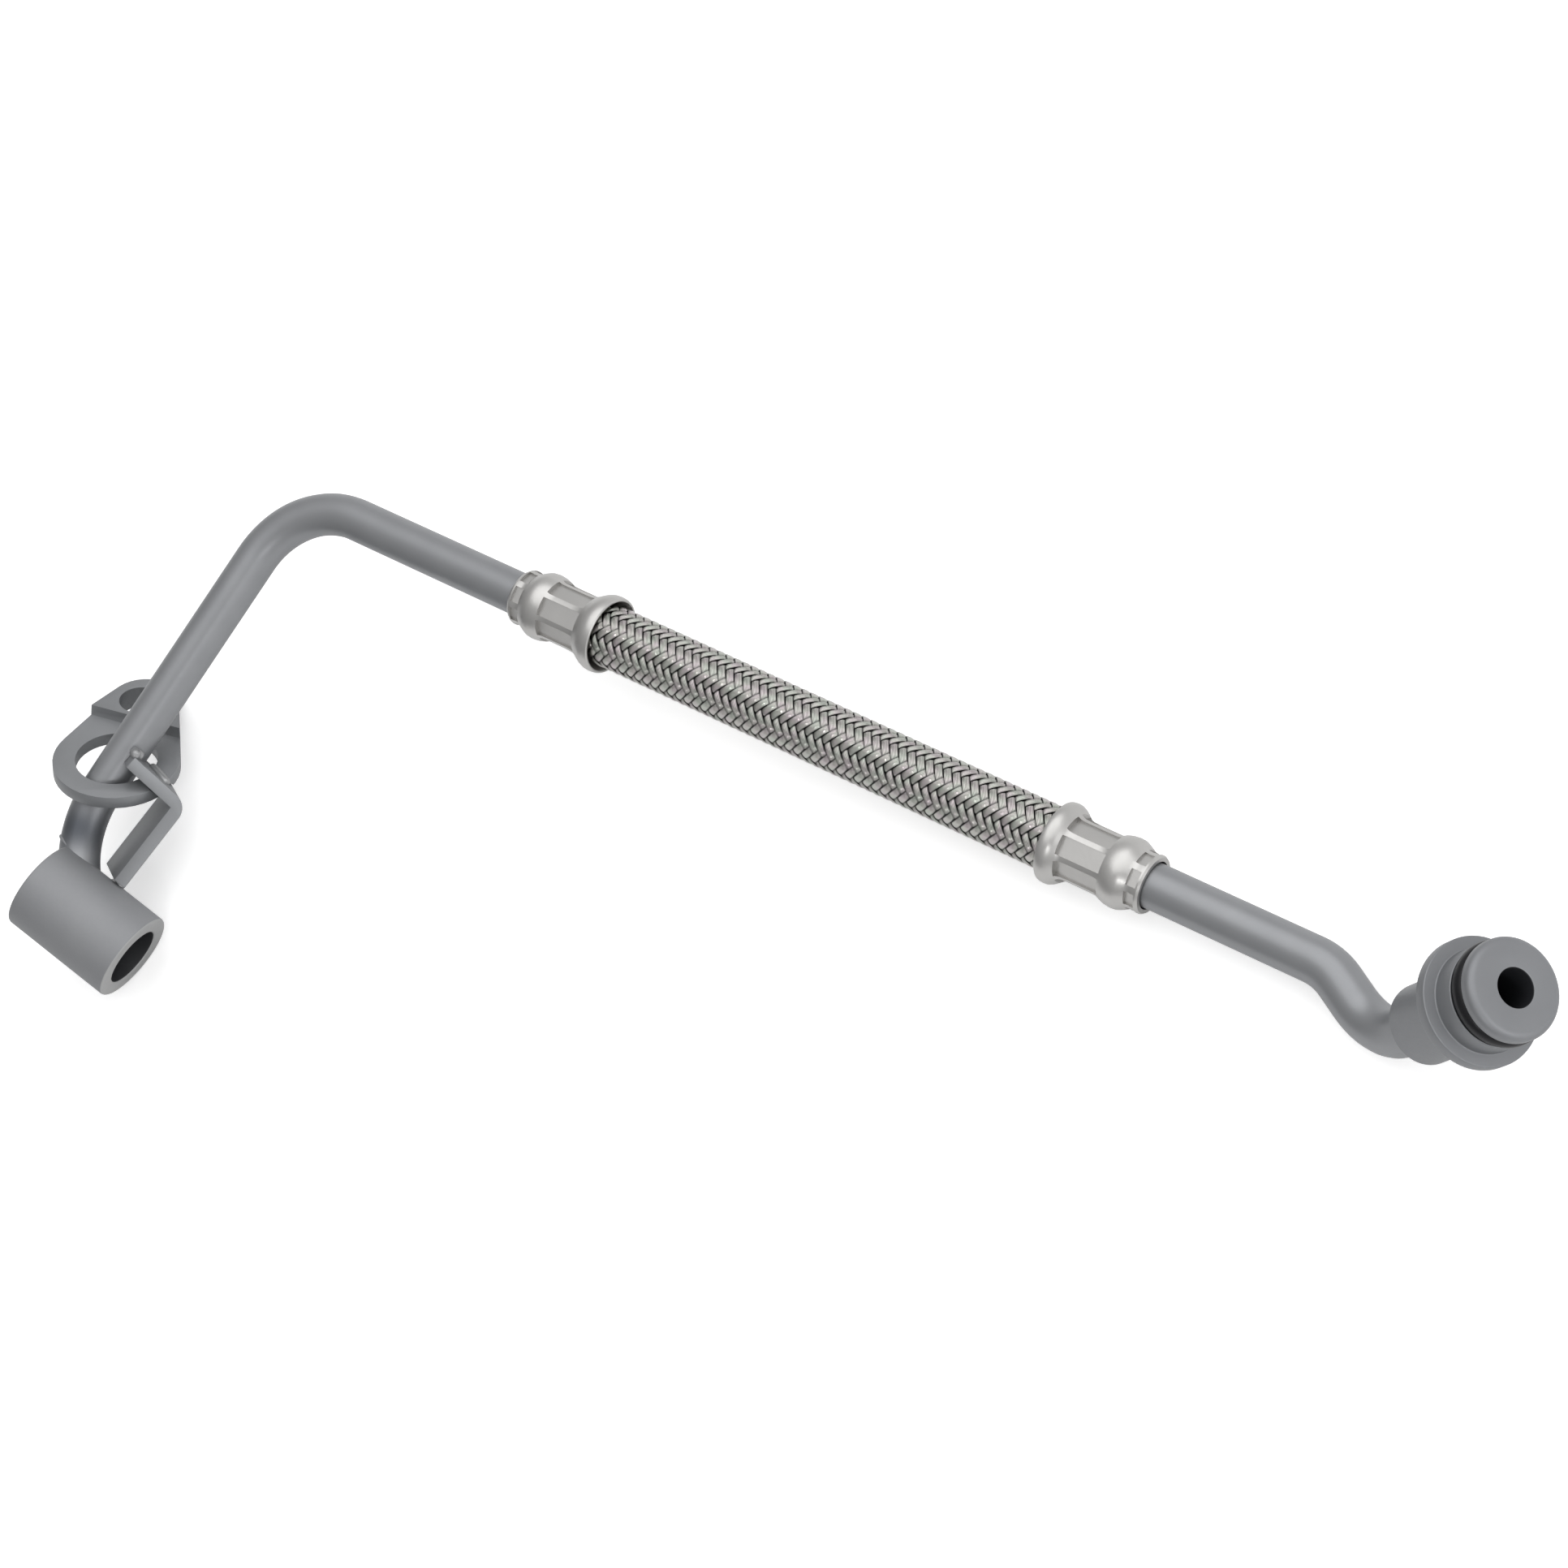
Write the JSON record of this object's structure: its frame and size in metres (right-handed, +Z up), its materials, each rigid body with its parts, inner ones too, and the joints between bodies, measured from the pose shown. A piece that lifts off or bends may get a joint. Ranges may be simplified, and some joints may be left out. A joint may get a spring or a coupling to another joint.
{
  "type": "turbo oil feed line",
  "caption": "Rigid steel oil tubes joined by a crimped, braided flexible hose, with a bolt sleeve and stamped bracket at one end and an O-ring plug with a flange at the other.",
  "frame": {"origin": "on the ground below the middle of the overall box, as the line lies at rest", "axes": "+X along the hose from the bolt sleeve's end towards the plug, +Z up, +Y towards the side that the plug points to"},
  "size_m": [0.2964, 0.1148, 0.0349],
  "materials": {
    "coated_steel": "satin grey plated steel",
    "stainless_steel": "bright drawn stainless, lightly brushed",
    "braid_wire": "bright woven stainless wire",
    "braze_metal": "dull braze fillet",
    "seal_rubber": "smooth black rubber",
    "liner_rubber": "matte dark hose liner"
  },
  "bodies": {
    "root": {"left_tube": "coated_steel", "banjo_sleeve": "coated_steel", "bracket_ring_plate": "coated_steel", "bracket_strap": "coated_steel", "right_tube": "coated_steel", "plug_fitting": "coated_steel", "plug_o_ring": "seal_rubber", "plug_tube_braze": "braze_metal", "tube_sleeve_braze": "braze_metal", "strap_sleeve_weld": "braze_metal", "strap_tube_weld": "braze_metal", "strap_plate_weld": "braze_metal", "left_ferrule": "stainless_steel", "right_ferrule": "stainless_steel", "left_nipple": "stainless_steel", "right_nipple": "stainless_steel", "hose_braid": "braid_wire", "hose_liner": "liner_rubber"}
  },
  "joints": []
}
